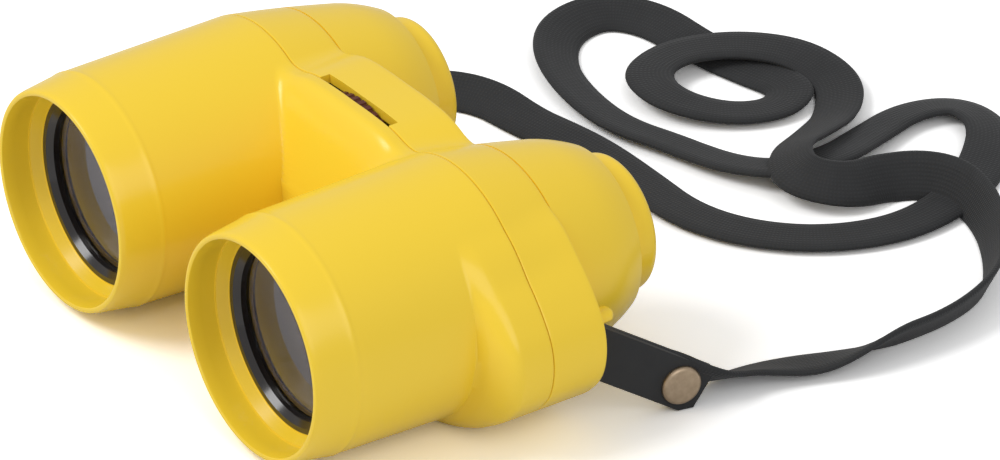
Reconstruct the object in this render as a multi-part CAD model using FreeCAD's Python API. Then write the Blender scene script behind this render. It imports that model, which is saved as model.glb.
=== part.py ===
"""Child's 4x30 binoculars with a recessed focus wheel and a riveted webbing strap.

Frame, in millimetres: +X to the wearer's right, +Y towards the eyepieces, +Z up.
The origin lies on the surface that the binoculars stand on, under the middle of the body.
Each sub-part is written to parts/NAME.step.
"""
import FreeCAD, Part

import math
import os
from FreeCAD import Vector

# ---- overall sizes ---------------------------------------------------------------------
BODY_LENGTH = 75.0          # hood rim to eyecup end
BARREL_SPACING = 59.5       # between the two optical axes
AXIS_HEIGHT = 21.9          # optical axes above the surface it stands on
WALL = 1.7                  # moulded shell wall
RUNNING = 0.05              # radial clearance of a sliding or turning fit
SEAT_GAP = 0.05             # radial clearance of a piece dropped in its seat

FRONT = -BODY_LENGTH / 2.0
BARREL_X = BARREL_SPACING / 2.0

# ---- stations along the body, measured from the hood rim --------------------------------
RIDGE_AT = 8.0              # the hood's outer edge line
HOOD_STEP_AT = 5.45         # a fine step inside the hood
RING_SEAT_AT = 7.4          # where the black lens ring begins
LENS_SHOULDER_AT = 12.2     # face that the lens stack is pressed against
SHOULDER_THICKNESS = 1.5
SEAM_AT = 41.1              # parting plane of the two shells
SEAM_GAP = 0.16             # the fine open line between the shells
HOUSING_BACK_AT = 52.0      # rear face of the bridge and of the strap housings
HOUSING_BEVEL = 0.5
BULGE_START_AT = 29.5       # a strap housing starts to rise out of its barrel
BULGE_FULL_AT = 36.0
HUMP_START_AT = 31.5        # the bridge's web starts between the barrels
HUMP_FULL_AT = 39.5
REAR_WALL_AT = 62.5         # inner face of the rear shell's end wall
REAR_FACE_AT = 69.2

# ---- barrel radii ----------------------------------------------------------------------
RIM_R = 20.0
RIM_WALL = 1.1
RIDGE_R = 21.15
SEAM_R = 21.9
REAR_MID_R = 20.3           # 10 mm behind the seam
REAR_EDGE_R = 18.5          # 19 mm behind the seam
REAR_SHOULDER_R = 17.15      # 23.9 mm behind the seam
REAR_FACE_R = 15.2
RING_R = 17.3               # bore that holds the objective ring and lens
RING_HOLE_R = 15.4
SHOULDER_R = 15.2

# ---- optics ----------------------------------------------------------------------------
LENS_EDGE = 1.9             # objective edge thickness
LENS_FRONT_SAG = 1.7
LENS_BACK_SAG = 0.8
RING_LENGTH = 2.0
SEAL_THICKNESS = 0.9
TUBE_FLANGE = 1.2
TUBE_WALL = 1.0
TUBE_FRONT_R = 15.2
TUBE_BACK_R = 11.4
TUBE_END_AT = 43.5

# ---- focusing eyepieces ----------------------------------------------------------------
EYE_TUBE_R = 11.0
EYE_TUBE_WALL = 2.2
EYE_TUBE_START_AT = 46.2
SPIGOT_R = 10.3
EYECUP_R = 12.3
EYECUP_HOLE_R = 9.3
EYECUP_START_AT = 65.9
EYECUP_ROUND = 1.6
EYE_LENS_AT = 66.6
EYE_LENS_R = 8.7
EYE_LENS_EDGE = 1.8
EYE_LENS_CENTRE = 0.9
EYE_RING_LENGTH = 1.1
EYE_STOP_R = 7.8
HUB_START_AT = 56.5         # guide hub inside the rear shell
HUB_WALL = 1.9
CUP_POCKET_AT = 64.2        # pocket in the rear face that the eyecup slides into

# ---- focus drive -----------------------------------------------------------------------
WHEEL_R = 16.0
WHEEL_THICKNESS = 1.35
WHEEL_AT = 41.35
WHEEL_BELOW_CROWN = 0.25
KNURLS = 54
KNURL_R = 0.45
SCREW_R = 2.0
SCREW_FRONT_AT = 35.2
WHEEL_HUB_R = 4.0
WHEEL_HUB = 0.5
YOKE_AT = 46.4
YOKE_THICKNESS = 2.0
YOKE_RING = 2.2
YOKE_WEB_HEIGHT = 7.0
NUT_R = 4.0
NUT_AT = 45.4
NUT_LENGTH = 3.2
SLOT_HALF_WIDTH = 10.4
SLOT_LENGTH = 1.95
CLIP_R = 3.2
CLIP_THICKNESS = 0.6

# ---- bridge and strap housing sections, (x, height above the axes) ------------------------
CROWN = 20.5
BRIDGE_TOP = [(0.0, CROWN), (5.5, 20.5), (11.0, 20.2), (15.0, 19.4), (19.0, 18.9)]
BRIDGE_FLOOR = -19.2
BRIDGE_HALF_WIDTH = 20.5
BULGE_TOP = (11.25, 18.0)   # from the barrel's axis, where the shoulder leaves the barrel
BULGE_SIDE = [
    (16.2, 14.6), (21.2, 10.0), (25.5, 5.4), (28.4, 0.8), (29.25, -4.0),
    (28.1, -9.2), (24.7, -13.6), (19.0, -17.8),
]
BULGE_FOOT = (10.0, -AXIS_HEIGHT)
FOOT_INNER = (-5.0, -AXIS_HEIGHT)

# ---- strap fixing ----------------------------------------------------------------------
STRAP_WIDTH = 9.0
STRAP_THICKNESS = 1.2
STRAP_X = 52.8
STRAP_HEIGHT = 15.9         # middle of the strap at its slot, above the surface
STRAP_SLOT = (3.4, 10.4)    # width and height
STRAP_PIN_R = 1.0
STRAP_PIN_AT = 47.4
STRAP_PIN_LENGTH = 15.0
LUG_SIZE = (3.0, 3.4, 2.4)
RIVET_CAP_R = 3.6
RIVET_CAP_THICKNESS = 0.9
RIVET_HOLE_R = 1.3
RIVET_POINT = Vector(56.4, 31.0, 5.2)
STRAP_END_PAST_RIVET = 3.5

# ---- shell screws ----------------------------------------------------------------------
SCREW_SHANK_R = 1.25
SCREW_HEAD_R = 2.1
SCREW_HEAD = 1.0
SCREW_TIP_AT = 37.6
SCREW_RECESS = 0.3
SCREW_BOSS_R = 2.7
SCREW_PLACES = [(48.0, -14.0), (8.0, -13.6)]

# ---- route of the strap's middle line on the surface, end tab to end tab ------------------
STRAP_ROUTE = [
    (-57.0, 34.2, 3.3), (-58.5, 46.0, 2.0), (-57.0, 57.0, 1.2), (-49.0, 64.5, 1.2),
    (-37.0, 66.0, 1.2), (-23.0, 69.5, 1.2), (-8.0, 70.0, 1.2), (6.0, 69.5, 1.2),
    (18.0, 74.5, 1.2), (27.5, 84.5, 1.2), (32.0, 98.0, 1.2), (29.5, 112.0, 1.2),
    (22.5, 124.0, 1.2), (13.0, 133.5, 1.2), (2.5, 134.0, 1.2), (-1.0, 124.5, 1.2),
    (2.5, 112.5, 1.4), (7.5, 101.5, 3.4), (6.5, 91.0, 3.6), (-3.0, 86.0, 1.8),
    (-15.0, 83.0, 1.2), (-27.0, 78.5, 1.2), (-40.0, 79.0, 1.2), (-52.5, 82.5, 1.2),
    (-61.5, 90.0, 1.2), (-63.5, 100.5, 1.2), (-56.0, 107.0, 1.2), (-43.0, 108.0, 1.2),
    (-30.0, 110.5, 1.2), (-20.0, 113.5, 1.2), (-15.0, 106.5, 1.2), (-18.5, 97.0, 1.4),
    (-27.0, 89.5, 3.2), (-37.0, 91.5, 3.4), (-40.5, 101.5, 3.4), (-36.0, 112.5, 3.6),
    (-27.0, 120.5, 3.0), (-16.0, 121.0, 1.6), (-7.0, 113.5, 1.4), (-1.0, 103.5, 3.6),
    (4.0, 93.5, 5.6), (12.5, 89.0, 5.8), (19.5, 95.5, 4.6), (19.0, 106.0, 3.4),
    (26.5, 113.5, 3.4), (38.0, 111.5, 3.2), (49.0, 105.5, 1.4), (58.5, 97.5, 1.2),
    (63.0, 87.0, 1.2), (64.0, 75.0, 1.2), (62.5, 63.0, 1.2), (58.5, 53.0, 1.2),
    (56.3, 44.0, 2.0), (57.0, 34.2, 3.3),
]


def station(distance):
    """Y of a station given as a distance from the hood rim."""
    return FRONT + distance


def point(radius, distance):
    """A profile point beside the Y axis, before it is turned and moved to its barrel."""
    return Vector(radius, station(distance), 0)


def line(a, b):
    return Part.LineSegment(a, b).toShape()


def arc(a, b, c):
    return Part.Arc(a, b, c).toShape()


def polyline(points):
    return [line(a, b) for a, b in zip(points, points[1:])]


def turned(edges):
    """A solid of revolution about the Y axis, from a closed profile."""
    face = Part.Face(Part.Wire(Part.__sortEdges__(edges)))
    return face.revolve(Vector(0, 0, 0), Vector(0, 1, 0), 360)


def turned_polygon(points):
    corners = [point(radius, distance) for radius, distance in points]
    return turned(polyline(corners + corners[:1]))


def ring(outer, inner, start, end):
    return turned_polygon([(inner, start), (outer, start), (outer, end), (inner, end)])


def disc(radius, start, end):
    return Part.makeCylinder(radius, end - start, Vector(0, station(start), 0), Vector(0, 1, 0))


def box(x0, x1, y0, y1, z0, z1):
    return Part.makeBox(x1 - x0, y1 - y0, z1 - z0, Vector(x0, y0, z0))


def moved(shape, x, height):
    """A copy at x, and at a height above the optical axes."""
    copy = shape.copy()
    copy.translate(Vector(x, 0, AXIS_HEIGHT + height))
    return copy


def mirrored(shape):
    return shape.mirror(Vector(0, 0, 0), Vector(1, 0, 0))


def save(name, shape):
    solids = shape.Solids
    result = solids[0] if len(solids) == 1 else Part.makeCompound(solids)
    if not solids or not result.isValid():
        raise RuntimeError(name + " is not a valid solid")
    result.exportStep("parts/" + name + ".step")
    box_ = result.BoundBox
    print("%-24s solids %d volume %8.1f  x %.2f..%.2f  y %.2f..%.2f  z %.2f..%.2f" % (
        name, len(solids), result.Volume, box_.XMin, box_.XMax,
        box_.YMin, box_.YMax, box_.ZMin, box_.ZMax))


def save_pair(name, right):
    save(name + "_right", right)
    save(name + "_left", mirrored(right))


# ---- outer form ------------------------------------------------------------------------

def barrel_outer_edges(inset):
    """The barrel's outer profile from the rim to the rear face, moved inwards by inset."""
    rim = point(RIM_R - inset, 0)
    ridge = point(RIDGE_R - inset, RIDGE_AT)
    seam = point(SEAM_R - inset, SEAM_AT)
    middle = point(REAR_MID_R - inset, SEAM_AT + 10.0)
    edge = point(REAR_EDGE_R - inset, SEAM_AT + 19.0)
    shoulder = point(REAR_SHOULDER_R - inset, SEAM_AT + 23.9)
    face = point(REAR_FACE_R - inset, REAR_FACE_AT)
    return [line(rim, ridge), line(ridge, seam), arc(seam, middle, edge), arc(edge, shoulder, face)]


def barrel_solid(inset):
    edges = barrel_outer_edges(inset)
    start = Vector(0, station(0), 0)
    end = Vector(0, station(REAR_FACE_AT), 0)
    edges += [
        line(edges[-1].Vertexes[-1].Point, end),
        line(end, start),
        line(start, edges[0].Vertexes[0].Point),
    ]
    return turned(edges)


def smooth_edge(points):
    curve = Part.BSplineCurve()
    curve.interpolate(points)
    return curve.toShape()


def bulge_point(offset, distance, rise, inset):
    """A section point of the strap housing: rise 0 is just inside the barrel, 1 is full size."""
    x, height = offset
    reach = math.hypot(x, height)
    hidden = SEAM_R - 1.2
    scale = (hidden + rise * (reach - hidden) - inset) / reach
    return Vector(BARREL_X + x * scale, station(distance), AXIS_HEIGHT + height * scale)


def bulge_wire(distance, rise, inset=0.0):
    side = [BULGE_TOP] + BULGE_SIDE + [BULGE_FOOT]
    outline = [bulge_point(p, distance, rise, inset) for p in side]
    inner = bulge_point(FOOT_INNER, distance, rise, inset)
    core = Vector(BARREL_X + FOOT_INNER[0], station(distance), AXIS_HEIGHT)
    edges = [smooth_edge(outline)] + polyline([outline[-1], inner, core, outline[0]])
    return Part.Wire(edges)


def soft_step(t):
    return t * t * (3.0 - 2.0 * t)


def prism(wire, length):
    return Part.Face(wire).extrude(Vector(0, length, 0))


def bulge_solid():
    """The strap housing on the right barrel, with its soft front and bevelled rear edge."""
    steps = 6
    sections = []
    for i in range(steps + 1):
        t = i / steps
        distance = BULGE_START_AT + t * (BULGE_FULL_AT - BULGE_START_AT)
        sections.append(bulge_wire(distance, soft_step(t)))
    front = Part.makeLoft(sections, True, False)
    middle = prism(bulge_wire(BULGE_FULL_AT, 1.0), HOUSING_BACK_AT - HOUSING_BEVEL - BULGE_FULL_AT)
    rear = Part.makeLoft([
        bulge_wire(HOUSING_BACK_AT - HOUSING_BEVEL, 1.0),
        bulge_wire(HOUSING_BACK_AT, 1.0, HOUSING_BEVEL * 0.7)], True, True)
    return front.fuse([middle, rear])


def bridge_wire(distance, rise, inset=0.0):
    web_top = 3.0
    web_floor = -15.0
    half = BRIDGE_HALF_WIDTH
    top = []
    for x, height in [(-x, h) for x, h in reversed(BRIDGE_TOP[1:])] + BRIDGE_TOP:
        z = web_top + rise * (height - web_top) - inset
        top.append(Vector(x, station(distance), AXIS_HEIGHT + z))
    floor = AXIS_HEIGHT + web_floor + rise * (BRIDGE_FLOOR - web_floor) + inset
    corners = [
        Vector(half, station(distance), top[-1].z - 2.0),
        Vector(half, station(distance), floor),
        Vector(-half, station(distance), floor),
        Vector(-half, station(distance), top[0].z - 2.0),
    ]
    edges = [smooth_edge(top)] + polyline([top[-1]] + corners + [top[0]])
    return Part.Wire(edges)


def bridge_solid():
    steps = 6
    sections = []
    for i in range(steps + 1):
        t = i / steps
        distance = HUMP_START_AT + t * (HUMP_FULL_AT - HUMP_START_AT)
        sections.append(bridge_wire(distance, math.sin(t * math.pi / 2.0)))
    front = Part.makeLoft(sections, True, False)
    middle = prism(bridge_wire(HUMP_FULL_AT, 1.0), HOUSING_BACK_AT - HOUSING_BEVEL - HUMP_FULL_AT)
    rear = Part.makeLoft([
        bridge_wire(HOUSING_BACK_AT - HOUSING_BEVEL, 1.0),
        bridge_wire(HOUSING_BACK_AT, 1.0, HOUSING_BEVEL * 0.7)], True, True)
    return front.fuse([middle, rear])


def outer_form():
    barrel = moved(barrel_solid(0.0), BARREL_X, 0)
    bulge = bulge_solid()
    right = barrel.fuse(bulge)
    return right.fuse([mirrored(right), bridge_solid()]).removeSplitter()


def housing_cavity():
    """The room inside the bridge and both strap housings."""
    start = BULGE_FULL_AT + 1.0
    length = HOUSING_BACK_AT - WALL - start
    bulge = prism(bulge_wire(start, 1.0, WALL + 0.1), length)
    hump_start = HUMP_FULL_AT - 1.5
    hump = prism(bridge_wire(hump_start, 1.0, WALL), HOUSING_BACK_AT - WALL - hump_start)
    return bulge, mirrored(bulge), hump


def front_barrel_cavity():
    """Hood, ring seat, lens shoulder and the long cavity behind them, as one turned solid."""
    behind = LENS_SHOULDER_AT + SHOULDER_THICKNESS
    past = SEAM_AT + 0.5
    taper = (SEAM_R - RIDGE_R) / (SEAM_AT - RIDGE_AT)
    behind_r = RIDGE_R - WALL + taper * (behind - RIDGE_AT)
    past_r = RIDGE_R - WALL + taper * (past - RIDGE_AT)
    return turned_polygon([
        (0, -1), (RIM_R - RIM_WALL, -1), (RIM_R - RIM_WALL, HOOD_STEP_AT),
        (RIM_R - RIM_WALL - 0.35, HOOD_STEP_AT), (RING_R + 0.25, RING_SEAT_AT),
        (RING_R, RING_SEAT_AT), (RING_R, LENS_SHOULDER_AT), (SHOULDER_R, LENS_SHOULDER_AT),
        (SHOULDER_R, behind), (behind_r, behind), (past_r, past), (0, past)])


def rear_barrel_cavity():
    """The cavity behind the seam, the guide hub's bore and the pocket for the eyecup."""
    edges = barrel_outer_edges(WALL)
    whole = turned(edges + [
        line(edges[-1].Vertexes[-1].Point, Vector(0, station(REAR_FACE_AT), 0)),
        line(Vector(0, station(REAR_FACE_AT), 0), Vector(0, station(0), 0)),
        line(Vector(0, station(0), 0), edges[0].Vertexes[0].Point)])
    room = whole.common(disc(40.0, SEAM_AT - 0.5, REAR_WALL_AT))
    bore = EYE_TUBE_R + RUNNING
    hub = ring(bore + HUB_WALL, bore, HUB_START_AT, REAR_WALL_AT + 1.0)
    through = disc(bore, HUB_START_AT - 1.0, REAR_FACE_AT + 1.0)
    pocket = disc(EYECUP_R + 2 * RUNNING, CUP_POCKET_AT, REAR_FACE_AT + 1.0)
    return room.cut(hub).fuse([through, pocket])


def focus_height():
    """Height of the focus wheel's axis above the optical axes."""
    return CROWN - WHEEL_BELOW_CROWN - WHEEL_R


def screw_places():
    return [(sign * x, height) for x, height in SCREW_PLACES for sign in (1, -1)]


def shells():
    outer = outer_form()
    cavities = list(housing_cavity())
    halves = SEAM_AT - SEAM_GAP / 2.0, SEAM_AT + SEAM_GAP / 2.0
    front_block = box(-90, 90, station(-5), station(halves[0]), -5, 60)
    rear_block = box(-90, 90, station(halves[1]), station(90), -5, 60)

    front_tools = cavities + [moved(front_barrel_cavity(), x, 0) for x in (BARREL_X, -BARREL_X)]
    front = outer.common(front_block).cut(front_tools)
    tongue_r = SEAM_R - WALL - SEAT_GAP - 0.25
    tongue = ring(tongue_r, tongue_r - 1.0, SEAM_AT - 2.5, SEAM_AT + 1.6)
    root = ring(tongue_r + 0.6, tongue_r - 1.0, SEAM_AT - 2.5, SEAM_AT - 0.6)
    wheel_room = box(-17.6, 17.6, station(30), station(60), 0, 60)
    tongues = [moved(tongue.fuse(root), x, 0).cut(wheel_room) for x in (BARREL_X, -BARREL_X)]
    front_bosses = [
        moved(disc(SCREW_BOSS_R, BULGE_FULL_AT - 0.5, halves[0]), x, h) for x, h in screw_places()]
    bearing = moved(disc(SCREW_R + 2.4, HUMP_FULL_AT - 2.0, HUMP_FULL_AT), 0, focus_height())
    front = front.fuse([t.common(box(-90, 90, station(0), station(90), -5, 60)) for t in tongues])
    front = front.fuse(front_bosses + [bearing])
    holes = [
        moved(disc(SCREW_SHANK_R + RUNNING, SCREW_TIP_AT - 0.4, SEAM_AT + 1), x, h)
        for x, h in screw_places()]
    journal = moved(disc(SCREW_R + RUNNING, SCREW_FRONT_AT - 0.2, SEAM_AT + 1), 0, focus_height())
    front = front.cut(holes + [journal])

    rear_tools = cavities + [moved(rear_barrel_cavity(), x, 0) for x in (BARREL_X, -BARREL_X)]
    rear = outer.common(rear_block).cut(rear_tools)
    rear_bosses = [
        moved(disc(SCREW_BOSS_R, halves[1], HOUSING_BACK_AT - 0.4), x, h) for x, h in screw_places()]
    rear = rear.fuse(rear_bosses + strap_mounts())
    crown_slot = box(
        -SLOT_HALF_WIDTH, SLOT_HALF_WIDTH, station(halves[0] - 0.1), station(SEAM_AT + SLOT_LENGTH),
        AXIS_HEIGHT + 12.0, AXIS_HEIGHT + 30.0)
    rear_holes = []
    for x, h in screw_places():
        rear_holes.append(moved(disc(SCREW_SHANK_R + RUNNING, SEAM_AT - 1, HOUSING_BACK_AT + 1), x, h))
        head_at = HOUSING_BACK_AT - SCREW_RECESS - SCREW_HEAD
        rear_holes.append(moved(disc(SCREW_HEAD_R + 0.15, head_at, HOUSING_BACK_AT + 1), x, h))
    rear_holes.append(
        moved(disc(SCREW_R + RUNNING, HOUSING_BACK_AT - 4, HOUSING_BACK_AT + 2), 0, focus_height()))
    rear = rear.cut([crown_slot] + rear_holes + strap_cuts())
    return biggest(front), biggest(rear)


def biggest(shape):
    return max(shape.Solids, key=lambda solid: solid.Volume)


# ---- strap fixing ----------------------------------------------------------------------

def pin_span():
    """Lowest and highest point of the strap pin."""
    middle = STRAP_HEIGHT + 0.2
    return middle - STRAP_PIN_LENGTH / 2.0, middle + STRAP_PIN_LENGTH / 2.0


def both_sides(shape):
    return [shape, mirrored(shape)]


def strap_mounts():
    """Seats inside each strap housing for the pin's ends, and the small lug above the slot."""
    low, high = pin_span()
    y0 = station(STRAP_PIN_AT) - 2.2
    y1 = station(HOUSING_BACK_AT) - WALL + 0.2
    slot_low = STRAP_HEIGHT - STRAP_SLOT[1] / 2.0
    slot_high = STRAP_HEIGHT + STRAP_SLOT[1] / 2.0
    inside = bulge_wire(SEAM_AT + 1.0, 1.0, 0.6)
    room = prism(inside, HOUSING_BACK_AT - SEAM_AT - 1.2)
    lower = box(STRAP_X - 2.4, STRAP_X + 6, y0, y1, low - 0.6, slot_low).common(room)
    upper = box(STRAP_X - 2.4, STRAP_X + 6, y0, y1, slot_high, high + 0.6).common(room)
    lug = box(
        STRAP_X + 0.6, STRAP_X + 0.6 + LUG_SIZE[0], station(HOUSING_BACK_AT) - 0.4,
        station(HOUSING_BACK_AT) + LUG_SIZE[1], slot_high + 0.2, slot_high + 0.2 + LUG_SIZE[2])
    lug = lug.makeFillet(1.1, [e for e in lug.Edges if e.CenterOfMass.y > station(HOUSING_BACK_AT) + 1])
    return both_sides(lower) + both_sides(upper) + both_sides(lug)


def strap_cuts():
    low, high = pin_span()
    slot = box(
        STRAP_X - STRAP_SLOT[0] / 2.0, STRAP_X + STRAP_SLOT[0] / 2.0,
        station(HOUSING_BACK_AT) - WALL - 1.0, station(HOUSING_BACK_AT) + 1.0,
        STRAP_HEIGHT - STRAP_SLOT[1] / 2.0, STRAP_HEIGHT + STRAP_SLOT[1] / 2.0)
    pin = Part.makeCylinder(
        STRAP_PIN_R + 0.02, high - low, Vector(STRAP_X, station(STRAP_PIN_AT), low))
    return both_sides(slot) + both_sides(pin)


def strap_pin():
    low, high = pin_span()
    return Part.makeCylinder(STRAP_PIN_R, high - low, Vector(STRAP_X, station(STRAP_PIN_AT), low))


def strap_end_direction():
    slot = Vector(STRAP_X, station(HOUSING_BACK_AT), STRAP_HEIGHT)
    direction = RIVET_POINT - slot
    direction.normalize()
    return slot, direction


def strap_end():
    """The doubled end of the strap: round the pin, out of the slot and riveted to itself."""
    slot, direction = strap_end_direction()
    pin_y = station(STRAP_PIN_AT)
    low = STRAP_HEIGHT - STRAP_WIDTH / 2.0
    bore = STRAP_PIN_R + 0.06
    eye = Part.makeCylinder(bore + STRAP_THICKNESS, STRAP_WIDTH, Vector(STRAP_X, pin_y, low))
    neck = box(
        STRAP_X - STRAP_THICKNESS, STRAP_X + STRAP_THICKNESS, pin_y, slot.y + 0.2,
        low, low + STRAP_WIDTH)
    length = (RIVET_POINT - slot).Length + STRAP_END_PAST_RIVET
    tail = Part.makeBox(
        2 * STRAP_THICKNESS, length + 2.0, STRAP_WIDTH, Vector(-STRAP_THICKNESS, -2.0, -STRAP_WIDTH / 2.0))
    heading = math.degrees(math.atan2(-direction.x, direction.y))
    pitch = math.degrees(math.asin(direction.z))
    tail.rotate(Vector(0, 0, 0), Vector(1, 0, 0), pitch)
    tail.rotate(Vector(0, 0, 0), Vector(0, 0, 1), heading)
    tail.translate(slot + direction * 1.2)
    behind = box(STRAP_X - 20, STRAP_X + 20, slot.y + 0.15, slot.y + 60, 0.15, 60)
    solid = eye.fuse([neck, tail.common(behind)])
    hole = Part.makeCylinder(bore, 40.0, Vector(STRAP_X, pin_y, 0))
    return solid.cut([hole, rivet_axis_cylinder(RIVET_HOLE_R + 0.02, -5.0, 5.0)])


def rivet_side():
    """Unit direction out of the strap's outer face at the rivet."""
    _, direction = strap_end_direction()
    side = direction.cross(Vector(0, 0, 1))
    side.normalize()
    return side


def rivet_axis_cylinder(radius, start, end):
    side = rivet_side()
    return Part.makeCylinder(radius, end - start, RIVET_POINT + side * start, side)


def strap_rivet():
    """Domed cap, post and washer of the strap's rivet."""
    face = STRAP_THICKNESS + 0.01
    post = rivet_axis_cylinder(RIVET_HOLE_R, -face - 0.3, face + 0.3)
    cap = rivet_axis_cylinder(RIVET_CAP_R, face, face + RIVET_CAP_THICKNESS)
    cap = cap.makeFillet(RIVET_CAP_THICKNESS * 0.8, [far_edge(cap, face + RIVET_CAP_THICKNESS)])
    back = rivet_axis_cylinder(RIVET_CAP_R * 0.8, -face - RIVET_CAP_THICKNESS * 0.6, -face)
    return post.fuse([cap, back])


def far_edge(shape, distance):
    """The round edge that lies at a distance along the rivet's axis."""
    side = rivet_side()
    rounds = [e for e in shape.Edges if e.Closed]
    return min(rounds, key=lambda e: abs((e.CenterOfMass - RIVET_POINT).dot(side) - distance))


# ---- strap webbing ---------------------------------------------------------------------

def route_edges(points):
    """Straight runs joined by tangent arcs, each as large as its two runs allow."""
    pts = [Vector(*p) for p in points]
    edges = []
    radii = []
    here = pts[0]
    for before, corner, after in zip(pts, pts[1:], pts[2:]):
        into = corner - before
        out = after - corner
        turn = into.getAngle(out)
        cut = 0.45 * min(into.Length, out.Length)
        radii.append(cut / math.tan(turn / 2.0))
        into.normalize()
        out.normalize()
        start = corner - into * cut
        end = corner + out * cut
        bisector = out - into
        bisector.normalize()
        height = radii[-1] / math.cos(turn / 2.0) - radii[-1]
        edges.append(line(here, start))
        edges.append(arc(start, corner + bisector * height, end))
        here = end
    edges.append(line(here, pts[-1]))
    return edges, radii


def strap_webbing():
    """The flat webbing as one band of constant section along its route."""
    edges, radii = route_edges(STRAP_ROUTE)
    path = Part.Wire(edges)
    first = Vector(*STRAP_ROUTE[0])
    heading = Vector(*STRAP_ROUTE[1]) - first
    heading.z = 0
    heading.normalize()
    side = Vector(0, 0, 1).cross(heading) * (STRAP_WIDTH / 2.0)
    up = Vector(0, 0, STRAP_THICKNESS / 2.0)
    corners = [first + side + up, first - side + up, first - side - up, first + side - up]
    section = Part.makePolygon(corners + corners[:1])
    band = Part.BRepOffsetAPI.MakePipeShell(path)
    band.setBiNormalMode(Vector(0, 0, 1))
    band.add(section)
    band.build()
    band.makeSolid()
    solid = Part.Solid(band.shape())
    expected = STRAP_WIDTH * STRAP_THICKNESS * path.Length
    print("strap middle line %.1f mm, radii %s" % (path.Length, [round(r, 1) for r in radii]))
    print("strap volume %.1f, section times length %.1f" % (solid.Volume, expected))
    return solid


# ---- optics and focus pieces -------------------------------------------------------------

def objective_ring(back):
    front = back - RING_LENGTH
    outer = RING_R - SEAT_GAP
    return turned_polygon([
        (outer, front), (outer, back), (RING_HOLE_R, back),
        (RING_HOLE_R, front + 1.0), (RING_HOLE_R + 0.9, front)])


def lens_solid(radius, clear_radius, start, edge, front_bulge, back_bulge):
    """A round lens with a flat rim outside its clear radius. A negative bulge is a concave face."""
    solid = disc(radius, start, start + edge)
    for at, bulge, outwards in ((start, front_bulge, -1), (start + edge, back_bulge, 1)):
        depth = abs(bulge)
        ball_r = (clear_radius ** 2 + depth ** 2) / (2.0 * depth)
        to_centre = outwards * (ball_r - depth)
        if bulge > 0:
            ball = Part.makeSphere(ball_r, Vector(0, station(at) - to_centre, 0))
            ends = sorted((at + outwards * (depth + 1.0), start + edge / 2.0))
            solid = solid.fuse(ball.common(disc(clear_radius, ends[0], ends[1])))
        else:
            ball = Part.makeSphere(ball_r, Vector(0, station(at) + to_centre, 0))
            solid = solid.cut(ball)
    return solid


def light_tube():
    start = LENS_SHOULDER_AT + SHOULDER_THICKNESS
    flange_r = RIDGE_R - WALL - 0.15
    return turned_polygon([
        (flange_r, start), (flange_r, start + TUBE_FLANGE), (TUBE_FRONT_R + TUBE_WALL, start + TUBE_FLANGE),
        (TUBE_BACK_R, TUBE_END_AT), (TUBE_BACK_R - TUBE_WALL, TUBE_END_AT), (TUBE_FRONT_R, start)])


def eyepiece_tube():
    inner = EYE_TUBE_R - EYE_TUBE_WALL
    end = EYE_LENS_AT + EYE_LENS_EDGE + EYE_RING_LENGTH
    bore = EYE_LENS_R + SEAT_GAP
    return turned_polygon([
        (inner, EYE_TUBE_START_AT), (EYE_TUBE_R, EYE_TUBE_START_AT), (EYE_TUBE_R, EYECUP_START_AT),
        (SPIGOT_R, EYECUP_START_AT), (SPIGOT_R, end), (bore, end), (bore, EYE_LENS_AT),
        (EYE_STOP_R, EYE_LENS_AT), (EYE_STOP_R, EYE_LENS_AT - 1.0), (inner, EYE_LENS_AT - 1.0)])


def eyepiece_ring():
    start = EYE_LENS_AT + EYE_LENS_EDGE
    return ring(EYE_LENS_R, EYE_STOP_R - 0.1, start, start + EYE_RING_LENGTH)


def eyecup():
    step = EYE_LENS_AT + EYE_LENS_EDGE + EYE_RING_LENGTH
    bore = SPIGOT_R + SEAT_GAP
    r = EYECUP_ROUND
    end = BODY_LENGTH
    outer_start = point(EYECUP_R, end - r)
    outer_end = point(EYECUP_R - r, end)
    outer_mid = point(EYECUP_R - r + r * math.sin(math.pi / 4), end - r + r * math.cos(math.pi / 4))
    edges = [
        line(point(bore, EYECUP_START_AT), point(EYECUP_R, EYECUP_START_AT)),
        line(point(EYECUP_R, EYECUP_START_AT), outer_start),
        arc(outer_start, outer_mid, outer_end),
        line(outer_end, point(EYECUP_HOLE_R + 0.6, end)),
        line(point(EYECUP_HOLE_R + 0.6, end), point(EYECUP_HOLE_R, end - 0.9)),
        line(point(EYECUP_HOLE_R, end - 0.9), point(EYECUP_HOLE_R, step)),
        line(point(EYECUP_HOLE_R, step), point(bore, step)),
        line(point(bore, step), point(bore, EYECUP_START_AT))]
    return turned(edges)


def focus_yoke():
    """The carriage that joins both eyepiece tubes and carries the drive nut."""
    end = YOKE_AT + YOKE_THICKNESS
    bore = EYE_TUBE_R + 0.02
    collar = ring(bore + YOKE_RING, bore, YOKE_AT, end)
    web_low = focus_height() - YOKE_WEB_HEIGHT / 2.0
    reach = BARREL_X - bore - 0.8
    web = box(
        -reach, reach, station(YOKE_AT), station(end),
        AXIS_HEIGHT + web_low, AXIS_HEIGHT + web_low + YOKE_WEB_HEIGHT)
    boss = moved(disc(NUT_R + 1.6, YOKE_AT - 0.6, end + 0.4), 0, focus_height())
    right = moved(collar, BARREL_X, 0)
    seat = moved(disc(NUT_R + SEAT_GAP, YOKE_AT - 5, end + 5), 0, focus_height())
    return web.fuse([right, mirrored(right), boss]).cut(seat)


def focus_nut():
    return moved(ring(NUT_R, SCREW_R + RUNNING, NUT_AT, NUT_AT + NUT_LENGTH), 0, focus_height())


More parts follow.
